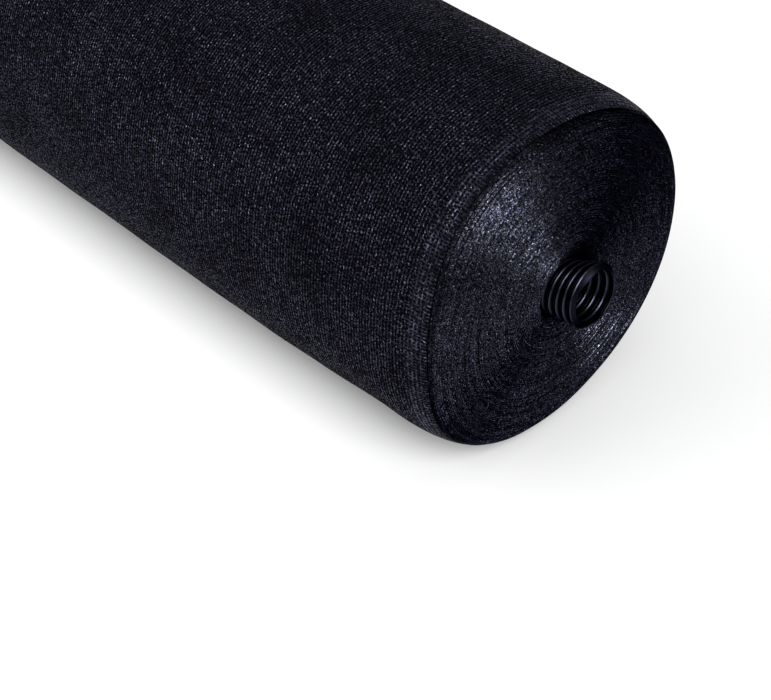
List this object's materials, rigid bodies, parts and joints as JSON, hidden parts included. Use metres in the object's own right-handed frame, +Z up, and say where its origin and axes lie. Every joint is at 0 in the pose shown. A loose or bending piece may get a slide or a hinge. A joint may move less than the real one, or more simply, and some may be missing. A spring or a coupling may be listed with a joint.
{
  "type": "shade cloth roll",
  "caption": "Long roll of black knitted shade cloth with rounded, slightly uneven ends, wound on a corrugated plastic core tube that stands out at each end.",
  "frame": {"origin": "on the surface that the roll rests on, under the middle of the roll", "axes": "+X along the roll and its core towards the end shown in the picture, +Z up, +Y across the roll"},
  "size_m": [1.884, 0.31, 0.306],
  "materials": {
    "cloth": "bluish black knitted polyethylene, glossy at each stitch",
    "tube_plastic": "black corrugated plastic, smooth and slightly glossy"
  },
  "bodies": {
    "root": {"cloth_roll": "cloth", "core_tube": "tube_plastic"}
  },
  "joints": []
}
